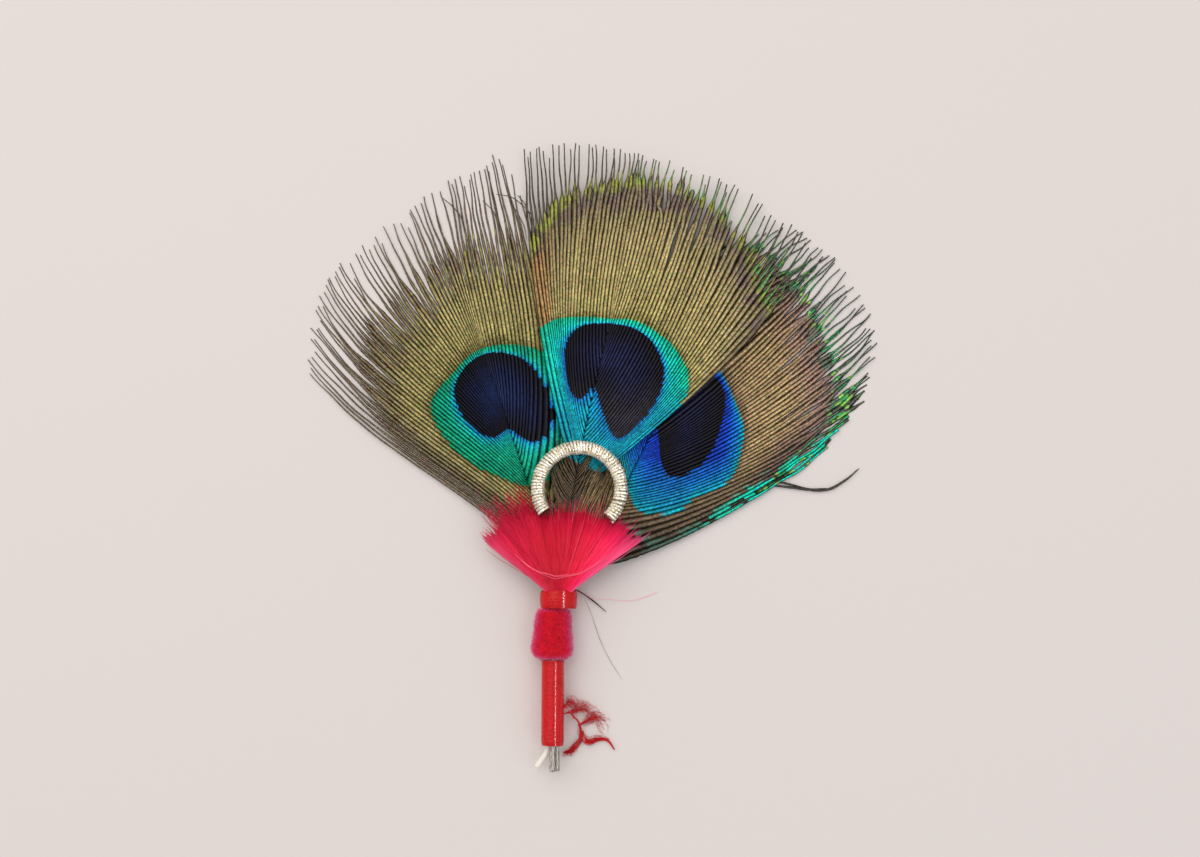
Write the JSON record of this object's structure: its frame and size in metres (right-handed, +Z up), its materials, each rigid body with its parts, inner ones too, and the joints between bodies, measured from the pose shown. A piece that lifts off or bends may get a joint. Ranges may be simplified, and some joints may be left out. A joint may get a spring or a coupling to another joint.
{
  "type": "tied peacock feather fan",
  "caption": "Small fan of peacock eye feathers tied at the stem with red thread, with a gold wound ring, a pink silk tuft and a velvet knob on its front.",
  "frame": {"origin": "middle of the velvet knob's flat underside, on the surface that the fan lies on", "axes": "+Y from the stem to the feather tips, +X to the right seen from the front, +Z up out of the front"},
  "size_m": [0.1016, 0.1094, 0.0069],
  "materials": {
    "left_vane": "iridescent feather barbs, olive gold round a teal and navy eye",
    "right_vane": "iridescent feather barbs, brown gold round a blue and navy eye",
    "centre_vane": "iridescent feather barbs, olive gold round a teal and navy eye",
    "gold_thread": "metallic thread wound close, satin",
    "silk_floss": "soft silk fibres",
    "neck_thread": "satin thread, wound",
    "velvet": "velvet pile",
    "stem_thread": "satin thread, wound"
  },
  "bodies": {
    "root": {"left_feather": "left_vane", "right_feather": "right_vane", "centre_feather": "centre_vane", "gold_ring": "gold_thread", "silk_tuft": "silk_floss", "neck_binding": "neck_thread", "velvet_knob": "velvet", "stem_binding": "stem_thread"}
  },
  "joints": []
}
